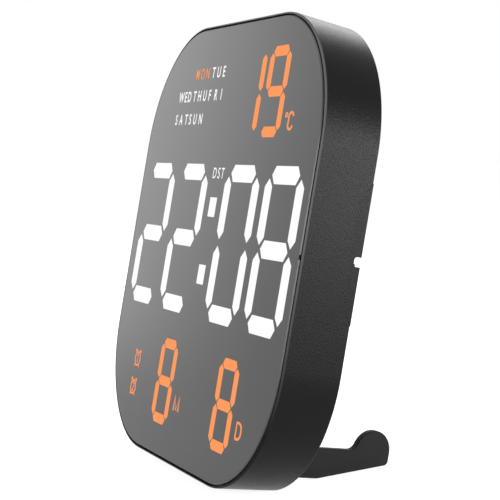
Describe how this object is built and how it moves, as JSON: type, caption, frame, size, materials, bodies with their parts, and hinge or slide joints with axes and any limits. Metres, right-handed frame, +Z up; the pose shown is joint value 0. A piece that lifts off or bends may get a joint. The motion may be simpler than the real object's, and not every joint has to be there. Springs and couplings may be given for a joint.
{
  "type": "digital clock",
  "caption": "Leaning digital clock with a smoked rounded front panel, lit segment digits, rear buttons, cable notch and plug-in feet.",
  "frame": {"origin": "on the floor, under the middle of the ground that the standing clock covers", "axes": "+Z up, -Y towards the reader, +X to the reader's right"},
  "size_m": [0.1954, 0.119, 0.2537],
  "materials": {
    "housing": "fine matte grain",
    "cover": "fine matte grain",
    "foot": "fine matte grain",
    "panel": "smoked half-mirror gloss",
    "white_light": "lit, white",
    "orange_light": "lit, orange",
    "film": "black printed film",
    "guide": "white moulding",
    "board": "green solder mask",
    "lamp": "clear resin",
    "chip": "black moulding",
    "screw": "zinc plated",
    "can": "satin can",
    "contact": "plated strip",
    "button": "satin",
    "plunger": "moulded"
  },
  "bodies": {
    "case": {"housing": "housing", "back_cover": "cover", "front_panel": "panel", "hour_tens_segments": "white_light", "hour_units_segments": "white_light", "minute_tens_segments": "white_light", "minute_units_segments": "white_light", "colon_dots": "white_light", "temperature_segments": "orange_light", "month_segments": "orange_light", "day_segments": "orange_light", "window_film": "film", "panel_tape": "film", "light_guide": "guide", "display_board": "board", "button_board": "board", "power_board": "board", "display_leds": "lamp", "clock_chip": "chip", "driver_chips": "chip", "buzzer": "chip", "temperature_sensor": "chip", "button_header": "chip", "power_header": "chip", "power_socket": "chip", "switch_bodies": "chip", "board_screws": "screw", "cover_screws": "screw", "button_board_screws": "screw", "power_board_screws": "screw", "coin_cell": "screw", "quartz_crystal": "screw", "capacitors": "can", "coin_contacts": "contact", "power_socket_pin": "contact"},
    "set_key": {"set_button": "button", "set_plunger": "plunger"},
    "alarm_key": {"alarm_button": "button", "alarm_plunger": "plunger"},
    "up_key": {"up_button": "button", "up_plunger": "plunger"},
    "down_key": {"down_button": "button", "down_plunger": "plunger"},
    "dimmer_key": {"dimmer_button": "button", "dimmer_plunger": "plunger"},
    "left_leg": {"left_foot": "foot"},
    "right_leg": {"right_foot": "foot"},
    "battery_door": {"coin_door": "cover"}
  },
  "joints": [
    {"name": "set_press", "type": "slide", "parent": "case", "child": "set_key", "axis": [0, -0.9803, 0.1977], "range_m": [0, 0.0005], "stiffness_N_per_m": 2500, "springref_m": -0.0002},
    {"name": "alarm_press", "type": "slide", "parent": "case", "child": "alarm_key", "axis": [0, -0.9803, 0.1977], "range_m": [0, 0.0005], "stiffness_N_per_m": 2500, "springref_m": -0.0002},
    {"name": "up_press", "type": "slide", "parent": "case", "child": "up_key", "axis": [0, -0.9803, 0.1977], "range_m": [0, 0.0005], "stiffness_N_per_m": 2500, "springref_m": -0.0002},
    {"name": "down_press", "type": "slide", "parent": "case", "child": "down_key", "axis": [0, -0.9803, 0.1977], "range_m": [0, 0.0005], "stiffness_N_per_m": 2500, "springref_m": -0.0002},
    {"name": "dimmer_press", "type": "slide", "parent": "case", "child": "dimmer_key", "axis": [0, -0.9803, 0.1977], "range_m": [0, 0.0005], "stiffness_N_per_m": 2500, "springref_m": -0.0002},
    {"name": "left_foot_pull", "type": "slide", "parent": "case", "child": "left_leg", "axis": [0, 0.9803, -0.1977], "range_m": [0, 0.018]},
    {"name": "right_foot_pull", "type": "slide", "parent": "case", "child": "right_leg", "axis": [0, 0.9803, -0.1977], "range_m": [0, 0.018]},
    {"name": "battery_door_turn", "type": "hinge", "parent": "case", "child": "battery_door", "pos_m": [-0.05, -0.00685, 0.1125], "axis": [0, 0.9803, -0.1977], "range_deg": [0, 50]}
  ]
}
